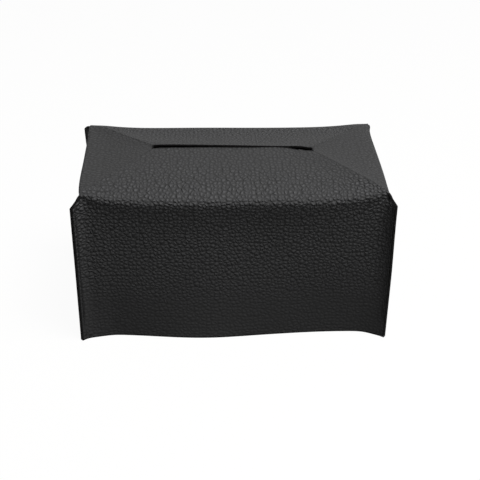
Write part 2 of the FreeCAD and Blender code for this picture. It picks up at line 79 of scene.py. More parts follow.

# %% [markdown]
# ## How each panel hangs
#
# Each panel says how far its eave sags in the middle, how round its fold is there, how far the wall stands
# out under the fold, and how hem and lip run. A hill is (middle, width, height) along the panel, seen from
# outside. The measured model has the large forms too; the small ones were read from the photograph. The grain
# is deepest at the front fold and flatter towards hem and slit, so its depth is given at a few places on the
# way up the sheet. Where the grain is deep the leather is also painted paler, so these depths give a painted
# light too, brightest at the front fold and dimmer towards hem and slit.

# %% Panels
# grain: depth of the grain up the sheet, and with it a painted light that is palest at the front fold
GRAIN_AT = (30.0, 60.0, 108.0, 128.0, 160.0)
LONG = dict(half=LENGTH / 2, reach=DEPTH / 2, inward=DEPTH / 2, along=END_RUN, thread="needle",
            grain=(0.18, 0.44, 0.64, 1.1, 0.48))
END = dict(half=DEPTH / 2, reach=LENGTH / 2, inward=END_RUN, along=DEPTH / 2, thread="bobbin",
           grain=(0.18, 0.44, 0.50, 0.3, 0.25))
PANELS = [
    dict(LONG, name="front", turn=0, right="front_right", left="front_left",
         sag=5.8, fold=5.4, brow=3.8, belly=0.4, crown=1.2, phase=0.3,
         hem=[(-24.0, 50.0, 6.8), (-108.0, 10.0, 2.8), (40.0, 30.0, 0.6), (112.0, 9.0, 2.8)],
         lip=[(-6.0, 26.0, 0.8), (33.0, 17.0, 2.2), (54.0, 7.0, -2.2)], lip_rise=0.8),
    dict(END, name="right_end", turn=90, right="back_right", left="front_right",
         sag=0.4, fold=4.0, brow=1.6, belly=0.6, crown=-1.0, phase=1.9,
         hem=[(10.0, 26.0, 2.4), (-34.0, 16.0, -1.0)], lip=[], lip_rise=0.0),
    dict(LONG, name="back", turn=180, right="back_left", left="back_right",
         sag=2.6, fold=6.0, brow=1.2, belly=0.8, crown=-1.0, phase=3.1,
         hem=[(30.0, 50.0, 4.0), (-66.0, 34.0, -1.8)],
         lip=[(-36.0, 24.0, 0.8)], lip_rise=0.8),
    dict(END, name="left_end", turn=270, right="front_left", left="back_left",
         sag=0.4, fold=4.0, brow=3.2, belly=0.6, crown=-1.0, phase=4.4,
         hem=[(-8.0, 28.0, 2.8), (36.0, 16.0, -1.0)], lip=[], lip_rise=0.0),
]
print("panels:", [p["name"] for p in PANELS])

# %% [markdown]
# ## The camera
#
# The camera was solved from the corners of the cover in the photograph: where it stands, how far it looks
# down, and how long its lens is. It goes in first, so that every later step can be seen through it. The
# columns of its matrix are the directions right, up and back.

# %% Camera
FRAME_PX = 480
FOCAL_PX = 992.7
SENSOR = 36.0
CAMERA_AT = np.array([-25.1, -700.1, 475.5]) * MM
PITCH, YAW, ROLL = (math.radians(angle) for angle in (31.26, 2.60, 0.87))

ahead = np.array([math.sin(YAW) * math.cos(PITCH), math.cos(YAW) * math.cos(PITCH), -math.sin(PITCH)])
level = np.array([math.cos(YAW), -math.sin(YAW), 0.0])
upright = np.cross(level, ahead)
camera_right = math.cos(ROLL) * level + math.sin(ROLL) * upright
camera_up = math.cos(ROLL) * upright - math.sin(ROLL) * level
stand = np.eye(4)
stand[:3] = np.stack([camera_right, camera_up, -ahead, CAMERA_AT], axis=1)

camera = bpy.data.objects.new("camera", bpy.data.cameras.new("camera"))
camera.data.sensor_width = SENSOR
camera.data.lens = FOCAL_PX / FRAME_PX * SENSOR
camera.matrix_world = stand.T.tolist()
bpy.context.scene.collection.objects.link(camera)
bpy.context.scene.camera = camera
print("lens:", round(camera.data.lens, 2), "mm, at", camera.matrix_world.translation)

# %% [markdown]
# ## One leather sheet as a surface of two parameters
#
# Going up, a row starts at the hem, climbs the wall, rounds the eave and crosses the top to the lip.
# Going across, a column keeps its share of the panel's width, so columns draw together towards the slit
# as the real facet narrows. Extruding by hand would work too, but with a formula both neighbours share
# the same seam line, and their edges meet exactly.

# %% The way up a sheet
HEM_STEPS = [0.0, 0.6, 1.2]
WALL_START = 2.0
WALL_HEIGHTS = np.concatenate(
    [HEM_STEPS, np.linspace(WALL_START, FIN_TIP, 43), np.linspace(FIN_TIP, WALL_TOP, 8)[1:]])
WALL_ROWS = WALL_HEIGHTS / WALL_TOP
EAVE_ROWS = np.linspace(0, 1, 13)[1:]
TOP_ROWS = np.concatenate([np.linspace(0, 0.97, 35)[1:], [0.985, 1.0]])
BLOCKS = np.cumsum([len(WALL_ROWS), len(EAVE_ROWS)])
ROWS = BLOCKS[-1] + len(TOP_ROWS)
EAVE_POWER = 6


def eave_section(p, c):
    """Eave height, fold radius, tilt of the top and length cut off the corner, at column share c.

    From the seams to the middle the eave sinks by the sag and the fold opens to its own radius.
    """
    middle = 1 - np.abs(c) ** EAVE_POWER
    eave = CORNER_Z - p["sag"] * middle
    radius = CORNER_FOLD + (p["fold"] - CORNER_FOLD) * middle
    tilt = np.arctan((RIDGE_Z - eave) / SEAM_RUN)
    return eave, radius, tilt, radius * np.tan((np.pi / 2 - tilt) / 2)


def way_up(p, c, lip_run):
    """Run inwards and height of each point, and its way along the leather, for an array of shares c.

    In the seam plane a vertical line meets the slanting top line at the eave, and an arc that touches
    both rounds their corner.
    """
    wall_c, arc_c, top_c = np.split(c, BLOCKS)
    eave, radius, tilt, cut = eave_section(p, wall_c)
    wall_z = WALL_ROWS[:, None] * (eave - cut)
    eave, radius, tilt, cut = eave_section(p, arc_c)
    angle = EAVE_ROWS[:, None] * (np.pi / 2 - tilt)
    arc_u = radius * (1 - np.cos(angle))
    arc_z = eave - cut + radius * np.sin(angle)
    eave, radius, tilt, cut = eave_section(p, top_c)
    top_u = cut * np.cos(tilt) + TOP_ROWS[:, None] * (lip_run - cut * np.cos(tilt))
    top_z = eave + top_u * np.tan(tilt)
    u = np.concatenate([np.zeros_like(wall_z), arc_u, top_u])
    z = np.concatenate([wall_z, arc_z, top_z])
    steps = np.hypot(np.diff(u * p["inward"] / SEAM_RUN, axis=0), np.diff(z, axis=0))
    way = np.concatenate([np.zeros_like(u[:1]), np.cumsum(steps, axis=0)])
    return u, z, way


sample = way_up(PANELS[0], np.zeros((ROWS, 1)), LIP_RUN)
print("front panel, hem to lip along the leather:", round(float(sample[2][-1, 0]), 1), "mm")

# %% [markdown]
# ## How leather leaves the flat pattern
#
# A skirt of thin leather never hangs flat. The wall swells where nothing holds it, the top dishes or
# bulges between the seams and puckers along them, and the lips of the slit lie unevenly. Each effect is
# a smooth term that dies away at the seams. A cloth simulation would give other waves than the photo's.

# %% Soft departures
HELD_POWER, BROW_POWER = 12, 3
WALL_FADE, BROW_HEIGHT = 24.0, 24.0
RIPPLE, RIPPLE_ACROSS, RIPPLE_UP = 0.35, 17.0, 23.0
WAVE, WAVE_ACROSS, WAVE_UP, WAVE_PHASE = 0.3, 19.0, 13.0, 1.7
PUCKER, PUCKER_WIDTH, PUCKER_START, PUCKER_POWER = 0.6, 6.0, 0.08, 0.7
LIP_START = 0.6


def hills(x, listed):
    """The sum of smooth hills, each (middle, width, height), over x."""
    total = np.zeros_like(x)
    for middle, width, height in listed:
        total = total + height * np.exp(-(((x - middle) / width) ** 2))
    return total


def smooth(share):
    """An S-shaped step from 0 to 1 as the share goes from 0 to 1."""
    share = np.clip(share, 0, 1)
    return share**2 * (3 - 2 * share)


def soft_departure(p, x, u, z, c, width):
    """How far the leather stands outward and upward of the flat pattern, in millimetres.

    Outward: half a sine from hem to eave, a bell-shaped brow at the fold and a ripple of two crossed
    sines on the wall, and the hills of the lip. Upward: half a sine from eave to ridge, a slow crossed
    wave, a rise at the lip, and a bell-shaped pucker along the seams.
    """
    held = 1 - np.abs(c) ** HELD_POWER
    wall = 1 - smooth(u / WALL_FADE)
    climb = np.clip(z / WALL_TOP, 0, 1)
    swell = p["belly"] * np.sin(np.pi * climb) * (1 - c**2)
    brow = np.exp(-(((z - CORNER_Z) / BROW_HEIGHT) ** 2)) * (1 - np.abs(c) ** BROW_POWER)
    swell = swell + p["brow"] * brow
    phase = p["phase"]
    ripple = RIPPLE * np.sin(x / RIPPLE_ACROSS + phase) * np.sin(z / RIPPLE_UP + 2 * phase) * held
    over = np.clip(u / SEAM_RUN, 0, 1)
    crown = p["crown"] * np.sin(np.pi * over) * (1 - c**2)
    slow = np.sin(x / WAVE_ACROSS + WAVE_PHASE * phase) * np.sin(u / WAVE_UP + phase)
    slow = WAVE * slow * held * over
    pucker = PUCKER * np.exp(-((width * (1 - np.abs(c)) / PUCKER_WIDTH) ** 2))
    pucker = pucker * smooth(over / PUCKER_START) * (1 - over) ** PUCKER_POWER
    near_lip = np.clip((u - LIP_START * LIP_RUN) / ((1 - LIP_START) * LIP_RUN), 0, 1) ** 2
    lift = p["lip_rise"] * near_lip * held
    outward = (swell + ripple) * wall - hills(x, p["lip"]) * near_lip * held
    return outward, (crown + slow + lift) * (1 - wall) + pucker


sample = (np.array([value]) for value in (0.0, 0.0, FIN_ROOT, 0.0, LENGTH / 2))
print("front wall stands out by", soft_departure(PANELS[0], *sample)[0].round(2), "mm near its fold")

# %% [markdown]
# ## Fins and turned-in edges
#
# Past its last column a panel goes on. On the wall it sweeps round a bend and out along the fin, whose
# top is cut on a slant. On the top it rounds down into the seam and hangs as a narrow turned-in strip.
# Both take something off the width of the flat part between the seams, which comes first.

# %% The flat part of a sheet
TUCK_RADIUS, TUCK_RAMP = 0.8, 2.0
COLUMN_STEP, CROWDING = 1.6, 0.25


def shares_across(half):
    """Column shares from -1 to 1, a row of them for every row, closer at the seams than in the middle."""
    even = np.linspace(-1, 1, 2 * round(half / COLUMN_STEP) + 1)
    return np.tile(even * (1 + CROWDING - CROWDING * even**2), (ROWS, 1))


def fin_bend():
    """Radius of the sweep into the fin at each row: it opens towards the hem."""
    height = np.concatenate([WALL_HEIGHTS, np.full(ROWS - len(WALL_HEIGHTS), WALL_TOP)])
    return FIN_BEND + HEM_FLARE * np.clip(1 - height[:, None] / FLARE_HEIGHT, 0, 1) ** 2


def sheet_width(p, u, fin, tuck):
    """Half the width of the flat part of a row: the fin's sweep or the tuck's rounding takes some off."""
    sweep = math.atan2(p["inward"], p["along"])
    fin_start = LEATHER * SEAM_RUN / p["inward"] + fin_bend() * math.tan(sweep / 2)
    tuck_start = TUCK_RADIUS * SEAM_RUN / p["inward"]
    return p["half"] - u * p["along"] / SEAM_RUN - fin * fin_start - tuck * tuck_start


def row_shares(u_edge):
    """For each row, the share of the full fin and of the full tuck that it carries."""
    fin = np.zeros((ROWS, 1))
    fin[: len(WALL_ROWS), 0] = np.clip((1 - WALL_ROWS) * WALL_TOP / (WALL_TOP - FIN_TIP), 0, 1)
    tuck = np.clip((u_edge - TURN_IN_START) / TUCK_RAMP, 0, 1)
    return fin, tuck


def flat_part(p, c, fin, tuck, lip_run):
    """Points of the sheet between its seams, and where they lie on the cutting table."""
    u, z, way = way_up(p, c, lip_run)
    width = sheet_width(p, u, fin, tuck)
    x = c * width
    outward, upward = soft_departure(p, x, u, z, c, width)
    y = -p["reach"] + u * p["inward"] / SEAM_RUN - outward
    return np.stack([x, y, z + upward], axis=2), np.stack([x, way], axis=2)


# %% [markdown]
# Fin and turned-in strip use the same extra columns. Where neither is there, these columns shrink onto
# the edge, and the welding step further down removes them.

# %% Fin and turned-in strip
BEND = np.linspace(0, 1, 9)[1:]
STRIP = np.linspace(0, 1, 15)[1:]
GROOVE, GROOVE_WIDTH = 0.35, 0.8


def go_on(arc, strip):
    """Steps round an arc, and then steps along a strip from where the arc ends."""
    return np.concatenate([arc, arc[:, -1:] + strip], axis=1)


def fin_part(p, fin):
    """Steps sideways, forwards and along the leather into a fin: an arc, then a straight flange.

    A bell-shaped groove runs along the flange where the stitches press it.
    """
    sweep = math.atan2(p["inward"], p["along"])
    out = np.array([p["along"], -p["inward"]]) / SEAM_RUN
    bend = fin_bend()
    flange = FIN_WIDTH + LEATHER * p["along"] / p["inward"] - bend * math.tan(sweep / 2)
    groove = GROOVE * np.exp(-(((1 - STRIP) * fin * flange - FIN_STITCH_INSET) / GROOVE_WIDTH) ** 2) * fin
    strip = fin * flange * STRIP
    fin_x = go_on(fin * bend * np.sin(sweep * BEND), strip * out[0] - groove * out[1])
    fin_y = go_on(-fin * bend * (1 - np.cos(sweep * BEND)), strip * out[1] + groove * out[0])
    return fin_x, fin_y, go_on(fin * bend * sweep * BEND, strip)


def tuck_part(p, tuck):
    """Steps sideways, upwards and along the leather into a turned-in edge: a quarter arc, then a strip."""
    quarter = np.pi / 2 * BEND
    strip = tuck * TURN_IN * STRIP
    tuck_x = go_on(tuck * TUCK_RADIUS * SEAM_RUN / p["inward"] * np.sin(quarter), 0 * strip)
    tuck_z = go_on(-tuck * TUCK_RADIUS * (1 - np.cos(quarter)), -strip)
    return tuck_x, tuck_z, go_on(tuck * TUCK_RADIUS * quarter, strip)


# %% [markdown]
# The whole sheet is the flat part with the seam part at its right edge, and a mirrored seam part at its
# left edge. Beside every point goes its place on the cutting table, so that patterns can follow it.

# %% The whole sheet
MIRROR = np.array([-1.0, 1.0, 1.0])


def seam_part(p, edge, edge_cut, fin, tuck):
    """Points beyond the right edge: the fin on the wall and the turned-in edge on the top."""
    fin_x, fin_y, fin_way = fin_part(p, fin)
    tuck_x, tuck_z, tuck_way = tuck_part(p, tuck)
    points = edge + np.stack([fin_x + tuck_x, fin_y, tuck_z], axis=2)
    way = fin_way + tuck_way
    return points, edge_cut + np.stack([way, np.zeros_like(way)], axis=2)


def leather_sheet(p):
    """Outer face of one panel as a grid: left fin, flat part, right fin."""
    c = shares_across(p["half"])
    fin, tuck = row_shares(way_up(p, c[:, -1:], LIP_RUN)[0])
    flat, flat_cut = flat_part(p, c, fin, tuck, LIP_RUN)
    fins, fins_cut = seam_part(p, flat[:, -1:], flat_cut[:, -1:], fin, tuck)
    points = np.concatenate([(fins * MIRROR)[:, ::-1], flat, fins], axis=1)
    cut = np.concatenate([(fins_cut * MIRROR[:2])[:, ::-1], flat_cut, fins_cut], axis=1)
    return points, cut


for p in PANELS:
    points, cut = leather_sheet(p)
    print(p["name"], "grid", points.shape[:2], "reaches", np.abs(points).reshape(-1, 3).max(axis=0).round(1))

# %% [markdown]
# ## From a grid to a sheet with thickness
#
# A single surface has no edge to look at, and cut leather shows its edge at the hem, the fins and the
# slit. Blender's Solidify modifier could add the thickness. Doing it in arrays keeps every face's
# finish in our own hands: the grain side, the wrong side and the cut edge each get their own number.

# %% Sheets with thickness
GRAIN, WRONG, EDGE = 0, 1, 2
WELD_DIGITS = 4


def grid_faces(rows, columns):
    """Corner numbers of a grid's quads, ordered so that a wall facing -Y faces outwards."""
    first = (np.arange(rows - 1)[:, None] * columns + np.arange(columns - 1)).ravel()
    return np.stack([first, first + 1, first + columns + 1, first + columns], axis=1)


def weld(points, cut):
    """A grid as single points and faces: points on one spot merge, and faces of no area go.

    A quad that lost one side keeps its third corner twice, so that it counts as a triangle.
    """
    rows, columns = points.shape[:2]
    loose = points.reshape(-1, 3)
    _, keep, number = np.unique(loose.round(WELD_DIGITS), axis=0, return_index=True, return_inverse=True)
    faces = number.ravel()[grid_faces(rows, columns)]
    low_side = faces[:, 0] == faces[:, 1]
    faces[low_side] = np.roll(faces[low_side], 2, axis=1)
    faces = faces[faces[:, 0] != faces[:, 1]]
    return loose[keep], cut.reshape(-1, 2)[keep], faces


def point_normals(points, faces):
    """Unit normals: each face's diagonals crossed, summed over the faces round a point."""
    a, b, c, d = points[faces].transpose(1, 0, 2)
    normal = np.cross(c - a, d - b)
    total = np.zeros_like(points)
    for corner in range(4):
        np.add.at(total, faces[:, corner], normal)
    return total / np.linalg.norm(total, axis=1, keepdims=True)


def open_edges(faces):
    """The directed edges that only one face uses."""
    edges = np.concatenate([np.stack([faces[:, i], faces[:, (i + 1) % 4]], axis=1) for i in range(4)])
    edges = edges[edges[:, 0] != edges[:, 1]]
    _, first, uses = np.unique(np.sort(edges, axis=1), axis=0, return_index=True, return_counts=True)
    return edges[first[uses == 1]]


def thicken(points, faces, outer, inner):
    """A closed sheet between two depths below the surface, and the finish number of every face."""
    normal = point_normals(points, faces)
    shell = np.concatenate([points - normal * outer, points - normal * inner])
    below = len(points)
    start, end = open_edges(faces).T
    rim = np.stack([end, start, start + below, end + below], axis=1)
    back = faces[:, [1, 0, 3, 2]] + below
    finish = np.repeat([GRAIN, WRONG, EDGE], [len(faces), len(back), len(rim)])
    return shell, np.concatenate([faces, back, rim]), finish


# %% [markdown]
# ## How the sewn cover settles
#
# Once it is sewn, the cover stands and settles. Fins lean, two corners of the top are pushed out and
# round, the hem swings, and the slit is drawn a little askew, with a hook at its right end. Moving each
# piece by itself would open gaps between leather, cloth and thread, so one set of moves is written as a
# function of place, and every piece takes it.

# %% Moves of the corners
CORNERS = {
    "front_left": dict(lean=(-0.2, 0.0, 0.0), arch=0.0, ear=0.0, push=(0.0, 0.0, 0.0)),
    "front_right": dict(lean=(-0.9, 0.0, 0.0), arch=0.0, ear=0.3, push=(0.0, 0.0, 0.0)),
    "back_left": dict(lean=(-0.8, 0.0, 2.4), arch=1.1, ear=0.8, push=(-3.2, 0.8, -1.2)),
    "back_right": dict(lean=(-2.6, 0.0, 2.4), arch=0.8, ear=1.5, push=(2.2, 0.8, -1.5)),
}
LEAN_START, LEAN_RISE = 50.0, 65.0
EAR_START, EAR_RISE, EAR_WIDTH, PUSH_WIDTH = 90.0, 30.0, 30.0, (7.0, 15.0)


def corner_moves(points):
    """Moves at the corners, fading down the wall.

    A fin leans by nothing at the wall and by the whole lean at its edge, and arches in between as a
    parabola. The top's corner stands up and is pushed aside by bell-shaped amounts.
    """
    z = points[:, 2]
    moves = np.zeros_like(points)
    for name, corner in CORNERS.items():
        sign = np.array([1 if "right" in name else -1, 1 if "back" in name else -1])
        away = points[:, :2] - sign * np.array([LENGTH, DEPTH]) / 2
        reach = np.clip(away @ (sign * np.array([END_RUN, DEPTH / 2])) / SEAM_RUN / FIN_WIDTH, 0, 1)
        lean = smooth((z - LEAN_START) / LEAN_RISE)
        moves += (reach * lean)[:, None] * np.array(corner["lean"])
        moves[:, 2] += corner["arch"] * 4 * reach * (1 - reach) * lean
        high = smooth((z - EAR_START) / EAR_RISE)
        moves[:, 2] += corner["ear"] * np.exp(-((away / EAR_WIDTH) ** 2).sum(axis=1)) * high
        near = np.exp(-((away / PUSH_WIDTH) ** 2).sum(axis=1)) * high
        moves += near[:, None] * np.array(corner["push"])
    return moves


# %% [markdown]
# The hem swings out by the hills of each panel. The moves of the slit are whole at its lips and die away
# towards the eaves, so the walls stay where they are.

# %% Moves of the hem and the slit
SWING_TOP, SWING_POWER, SWING_DEPTH = 108.0, 1.4, 30.0
SLIT_START, SLIT_RISE = 100.0, 25.0
SLIT_SHIFT, SLIT_SKEW, SLIT_BOW = 1.2, -2.0, 0.7
SLIT_HOOK, HOOK_START, HOOK_LENGTH = -2.0, 52.0, 9.0
SLIT_DRAW, DRAW_START, DRAW_LENGTH = (1.0, 1.4), 30.0, 30.0


def spin(turn):
    """The matrix that turns points about Z by so many degrees."""
    cos, sin = math.cos(math.radians(turn)), math.sin(math.radians(turn))
    return np.array([[cos, -sin, 0], [sin, cos, 0], [0, 0, 1]])


def hem_moves(points):
    """Moves of the hem: out by the hills of the nearest panel, fading up the wall and inwards."""
    moves = np.zeros_like(points)
    for p in PANELS:
        own = points @ spin(p["turn"])
        swing = hills(own[:, 0], p["hem"]) * np.clip(1 - own[:, 2] / SWING_TOP, 0, 1) ** SWING_POWER
        swing = swing * smooth((SWING_DEPTH - p["reach"] - own[:, 1]) / SWING_DEPTH)
        moves += swing[:, None] * (spin(p["turn"]) @ [0, -1, 0])
    return moves


def slit_moves(points):
    """Moves of the slit by a share that grows from the eaves to the lips.

    Across: a shift, a skew, a bow as a parabola, and a hook near the right end. Along: both ends are
    drawn in.
    """
    x, y, z = points.T
    share = np.minimum(1 - np.abs(y) / (DEPTH / 2), (LENGTH / 2 - np.abs(x)) / END_RUN)
    share = np.clip(share, 0, 1) * smooth((z - SLIT_START) / SLIT_RISE)
    along = np.clip(x / (SLIT / 2), -1, 1)
    bend = SLIT_SHIFT + SLIT_SKEW * along + SLIT_BOW * (1 - along**2)
    hook = SLIT_HOOK * share**4 * smooth((x - HOOK_START) / HOOK_LENGTH)
    left, right = (smooth((side * x - DRAW_START) / DRAW_LENGTH) for side in (-1, 1))
    draw = share**2 * (SLIT_DRAW[0] * left - SLIT_DRAW[1] * right)
    return np.stack([draw, share * (bend + hook), np.zeros_like(x)], axis=1)


def settle(points):
    """Points of the sewn cover with all moves added; none goes below the floor."""
    moved = points + corner_moves(points) + hem_moves(points) + slit_moves(points)
    moved[:, 2] = np.maximum(moved[:, 2], 0)
    return moved


sample = settle(np.array([[0.0, 0.0, RIDGE_Z]]))[0]
print("middle of the slit settles at", sample.round(2), "mm")

# %% [markdown]
# ## Leather panels
#
# Now a panel can be put together: the grid is welded and thickened, turned to its side of the cover and
# settled. Its flat cut becomes a UV map, and three marks go on its points: how deep the grain is, which also
# sets a painted light that is palest at the front fold; where the cut edge's dye has run in; and the groove
# where the stitches press the fins, which gets a painted shade. Painting marks by hand is usual; here they
# follow from distances, so they stay true when a size changes.

# %% A piece from points and faces
SHARP = math.radians(50)


def add_piece(name, points, faces, cut, finish, turn):
    """A mesh object at the origin, turned in its points; cut holds each face corner's place on the table."""
    triangle = faces[:, 2] == faces[:, 3]
    mesh = bpy.data.meshes.new(name)
    mesh.from_pydata((settle(points @ spin(turn).T) * MM).tolist(), [],
                     faces[~triangle].tolist() + faces[triangle, :3].tolist())
    mesh.polygons.foreach_set("material_index", np.concatenate([finish[~triangle], finish[triangle]]))
    mesh.polygons.foreach_set("use_smooth", np.ones(len(faces), dtype=bool))
    flat = np.concatenate([cut[~triangle].ravel(), cut[triangle, :3].ravel()]) * MM
    mesh.uv_layers.new(name="flat").data.foreach_set("uv", flat)
    mesh.set_sharp_from_angle(angle=SHARP)
    piece = bpy.data.objects.new(name, mesh)
    bpy.context.scene.collection.objects.link(piece)
    return piece


# %% [markdown]
# The marks need each point's distance from the edges. The edge itself gets a small bevel, because a
# knife leaves the edge of leather a little rounded.

# %% Marks, area and edges
BEVEL, BEVEL_STEPS = 0.25, 2


def edge_gaps(p, points, faces):
    """Distance of every point from the nearest cut edge that shows, and from the nearest edge of a fin.

    The edges of the turned-in strips lie inside the cover and don't count.
    """
    rim = points[np.unique(open_edges(faces))]
    lip_y = -p["reach"] + LIP_RUN * p["inward"] / SEAM_RUN
    low = rim[:, 2] < FIN_ROOT
    shown = rim[low | (rim[:, 1] > lip_y - LEATHER)]
    fins = rim[low & (np.abs(rim[:, 0]) > p["half"])]
    return [np.linalg.norm(points[:, None] - edge, axis=2).min(axis=1) for edge in (shown, fins)]


def mark_points(piece, name, value):
    """A value for every point of a piece's two faces, which its finish can read."""
    mark = piece.data.attributes.new(name, "FLOAT", "POINT")
    mark.data.foreach_set("value", np.tile(value, 2))


def flat_area(cut, faces):
    """Area of the cut on the table in square metres, as half the cross products of the diagonals."""
    a, b, c, d = cut[faces].transpose(1, 0, 2)
    across, along = c - a, d - b
    return float(np.abs(across[:, 0] * along[:, 1] - across[:, 1] * along[:, 0]).sum() / 2 * MM**2)


def soften_edges(piece):
    """A small bevel wherever two faces meet at a sharp angle."""
    bevel = piece.modifiers.new("cut edge", "BEVEL")
    bevel.width = BEVEL * MM
    bevel.segments = BEVEL_STEPS
    bevel.limit_method = "ANGLE"
    bevel.angle_limit = SHARP


# %% [markdown]
# With these helpers the four panels are made. Each is folded at its eave and meets two neighbours at
# the seams.

# %% Leather panels
DYE_BAND, PRESS_WIDTH = 1.7, 0.6

pieces = {}
for p in PANELS:
    points, cut, faces = weld(*leather_sheet(p))
    shell, shell_faces, finish = thicken(points, faces, 0.0, LEATHER)
    node = p["name"] + "_panel"
    corners = np.tile(cut, (2, 1))[shell_faces]
    piece = add_piece("leather_" + node, shell, shell_faces, corners, finish, p["turn"])
    edge_gap, fin_gap = edge_gaps(p, points, faces)
    # the grain's depth, which also paints the leather paler: a painted light at the front fold
    mark_points(piece, "grain_depth_and_painted_light", np.interp(cut[:, 1], GRAIN_AT, p["grain"]))
    mark_points(piece, "dyed_edge", 1 - smooth(edge_gap / DYE_BAND))
    # a painted shade along the groove that the stitches press
    mark_points(piece, "stitch_groove_shade", np.exp(-(((fin_gap - FIN_STITCH_INSET) / PRESS_WIDTH) ** 2)))
    soften_edges(piece)
    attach(piece, "root")
    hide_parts(node)
    size, area = np.ptp(cut, axis=0) * MM, flat_area(cut, faces)
    pieces[node] = piece
    print(node, "cut", size.round(4), "m, area", round(area, 5), "m2,", len(shell_faces), "faces")

# %% [markdown]
# ## The cloth behind the leather
#
# A thin woven cloth is bonded to the wrong side of each panel. It is the same surface again, a leather
# thickness further in, cut a little smaller so that it clears the fins, the turned-in strips and the
# lip. It shows only from below and through the slit.

# %% Backings
BACKING_GAP, BACKING_CLEAR = 0.02, 0.5
BACKING_INSET = LEATHER + TUCK_RADIUS + BACKING_CLEAR
BACKING_DEPTH = LEATHER + BACKING_GAP
BACKING_RUN = LIP_RUN - BACKING_LIP_SETBACK

for p in PANELS:
    shares = shares_across(p["half"])
    u_edge = way_up(p, shares[:, -1:], BACKING_RUN)[0]
    fin, tuck = row_shares(u_edge)
    inset = BACKING_INSET * SEAM_RUN / p["inward"] / sheet_width(p, u_edge, fin, tuck)
    points, cut, faces = weld(*flat_part(p, shares * (1 - inset), fin, tuck, BACKING_RUN))
    shell, shell_faces, finish = thicken(points, faces, BACKING_DEPTH, BACKING_DEPTH + BACKING)
    node = p["name"] + "_backing"
    corners = np.tile(cut, (2, 1))[shell_faces]
    piece = add_piece("cloth_" + node, shell, shell_faces, corners, np.zeros_like(finish), p["turn"])
    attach(piece, "root")
    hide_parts(node)
    size, area = np.ptp(cut, axis=0) * MM, flat_area(cut, faces)
    pieces[node] = piece
    print(node, "cut", size.round(4), "m, area", round(area, 5), "m2,", len(shell_faces), "faces")

# %% [markdown]
# ## Lockstitch threads
#
# Every seam has two threads, one on each side, that catch each other inside the leather. A thread's
# middle line climbs out of a needle hole, runs along the leather and dives into the next hole. That
# line repeats every stitch, so one stitch is written down and tiled.

# %% The line of a stitch
ARC_STEPS = 4


def stitch_line(holes):
    """Way along the seam and height off it: quarter arc up, quarter arc down, half turn in the hole."""
    turn = THREAD / 2 + THREAD_CLEARANCE
    low = 2 * turn - THREAD_CLEARANCE / 2
    quarter = np.linspace(0, np.pi / 2, ARC_STEPS + 1)
    half = np.linspace(0, np.pi, 2 * ARC_STEPS + 1)[1:-1]
    face = LEATHER - GROOVE
    up = np.stack([2 * turn - turn * np.cos(quarter), face + turn * np.sin(quarter)], axis=1)
    down = np.stack([STITCH_PITCH - up[::-1, 0], up[::-1, 1]], axis=1)
    bowl = np.stack([-turn * np.cos(half), low - turn * np.sin(half)], axis=1)
    foot = np.array([[turn, low]])
    stitch = np.concatenate([foot, up, down, foot * [-1, 1] + [STITCH_PITCH, 0], bowl + [STITCH_PITCH, 0]])
    steps = np.arange(holes - 1)[:, None, None] * np.array([STITCH_PITCH, 0])
    return (stitch + steps).reshape(-1, 2)[: -len(bowl)]


print("points along a stitch:", len(stitch_line(3)) - len(stitch_line(2)))

# %% [markdown]
# A small ring of points carried along that line makes the thread. A curve with a round bevel would do
# too, but a grid gives the thread its own flat map, which its twist follows.

# %% A thread round its line
RING = 8
ONCE_ROUND = 1000.0


def tube(path, across):
    """A ring carried along a flat path; across is the normal of the plane that the path lies in."""
    heading = np.gradient(path, axis=0)
    heading /= np.linalg.norm(heading, axis=1, keepdims=True)
    lift = np.cross(across, heading)
    angle = np.linspace(0, 2 * np.pi, RING + 1)
    ring = THREAD / 2 * (np.cos(angle)[:, None, None] * lift + np.sin(angle)[:, None, None] * across)
    return (path + ring).transpose(1, 0, 2)


def seam_thread(p, first, ahead, holes):
    """Grid and flat places of one thread at the panel's right seam: first and ahead are (out, up).

    On its flat map a thread is as long as it is, and ONCE_ROUND wide.
    """
    out = np.array([p["along"], -p["inward"], 0]) / SEAM_RUN
    side = np.array([-p["inward"], -p["along"], 0]) / SEAM_RUN
    up = np.array([0, 0, 1.0])
    corner = np.array([p["half"], -p["reach"], 0])
    heading = out * ahead[0] + up * ahead[1]
    line = stitch_line(holes)
    path = corner + out * first[0] + up * first[1] + line[:, :1] * heading + line[:, 1:] * side
    way = np.concatenate([[0], np.cumsum(np.linalg.norm(np.diff(path, axis=0), axis=1))])
    cut = np.stack(np.broadcast_arrays(np.linspace(0, ONCE_ROUND, RING + 1), way[:, None]), axis=2)
    return tube(path, np.cross(heading, side)), cut


def close_tube(points, cut, left):
    """A tube's points, faces and corner places: the ring's last column is its first, both ends are capped."""
    if left:
        points = (points * MIRROR)[:, ::-1]
    rows = len(points)
    grid = grid_faces(rows, RING + 1)
    number = np.arange(rows)[:, None] * RING + np.arange(RING + 1) % RING
    second = np.arange(1, RING - 1, 2)
    fan = np.stack([np.zeros_like(second), second, second + 1, second + 2], axis=1)
    caps = np.concatenate([fan[:, ::-1], fan + (rows - 1) * RING])
    faces = np.concatenate([number.ravel()[grid], caps])
    corners = np.concatenate([cut.reshape(-1, 2)[grid], cut[:, :RING].reshape(-1, 2)[caps]])
    return points[:, :RING].reshape(-1, 3), faces, corners


# %% [markdown]
# The seams of a corner and of the top differ only in where the first hole is, which way the holes go,
# and how many there are. Each panel has both at its right and, mirrored, at its left.

